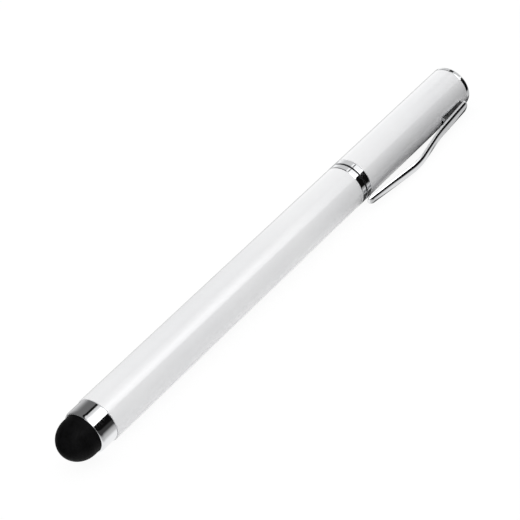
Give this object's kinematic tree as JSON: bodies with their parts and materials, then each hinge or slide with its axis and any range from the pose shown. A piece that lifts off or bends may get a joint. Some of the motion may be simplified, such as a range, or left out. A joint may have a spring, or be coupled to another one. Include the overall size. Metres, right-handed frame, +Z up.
{
  "type": "capped stylus pen",
  "caption": "Slim round capped pen with a rubber stylus dome at one end, a sprung pocket clip, and under the pull-off cap a screw-in ballpoint section with a refill.",
  "frame": {"origin": "on the pen's axis at the middle of the barrel tube; the table it lies on is 5 mm below", "axes": "+X along the pen from the stylus tip to the end of the cap, +Z up, the clip on the -Y side and turned down until its crest touches the table"},
  "size_m": [0.1326, 0.0134, 0.01],
  "materials": {
    "white_lacquer": "gloss",
    "chrome_trim": "polished",
    "black_silicone": "matt",
    "black_plastic": "satin",
    "brass": "turned",
    "spring_steel": "bright wire",
    "nickel_silver": "turned",
    "ball_carbide": "polished",
    "clear_plastic": "clear",
    "ink": "ink"
  },
  "bodies": {
    "barrel": {"barrel_tube": "white_lacquer", "tip_ferrule": "chrome_trim", "stylus_tip": "black_silicone", "tip_plug": "brass", "barrel_ring": "chrome_trim", "thread_bushing": "brass", "refill_guide": "black_plastic", "refill_spring": "spring_steel"},
    "refill": {"refill_tube": "clear_plastic", "refill_ink": "ink", "refill_point": "nickel_silver"},
    "ball": {"writing_ball": "ball_carbide"},
    "section": {"grip_section": "black_plastic", "nose_cone": "chrome_trim"},
    "cap_grip": {"cap_o_ring": "black_silicone"},
    "cap": {"cap_tube": "white_lacquer", "cap_ring": "chrome_trim", "cap_liner": "black_plastic", "cap_end_plug": "chrome_trim"},
    "clip": {"clip": "chrome_trim"}
  },
  "joints": [
    {"name": "refill_advance", "type": "slide", "parent": "barrel", "child": "refill", "axis": [1, 0, 0], "range_m": [0, 0.0045], "deforming": ["refill_spring"]},
    {"name": "section_turn", "type": "hinge", "parent": "refill", "child": "section", "pos_m": [0.0418, 0, 0], "axis": [1, 0, 0], "range_deg": [0, 2161]},
    {"name": "ball_roll", "type": "hinge", "parent": "refill", "child": "ball", "pos_m": [0.0715, 0, 0], "axis": [0, 1, 0], "continuous": true},
    {"name": "cap_turn", "type": "hinge", "parent": "section", "child": "cap_grip", "pos_m": [0.04905, 0, 0], "axis": [1, 0, 0], "continuous": true},
    {"name": "cap_pull", "type": "slide", "parent": "cap_grip", "child": "cap", "axis": [1, 0, 0], "range_m": [0, 0.04]},
    {"name": "clip_flex", "type": "hinge", "parent": "cap", "child": "clip", "pos_m": [0.07075, -0.00426, -0.00211], "axis": [0, -0.4437, 0.8962], "range_deg": [0, 2], "stiffness_Nm_per_rad": 2}
  ],
  "couplings": [
    {"joint": "section_turn", "follows": "refill_advance", "rad_per_m": 8377.6}
  ]
}
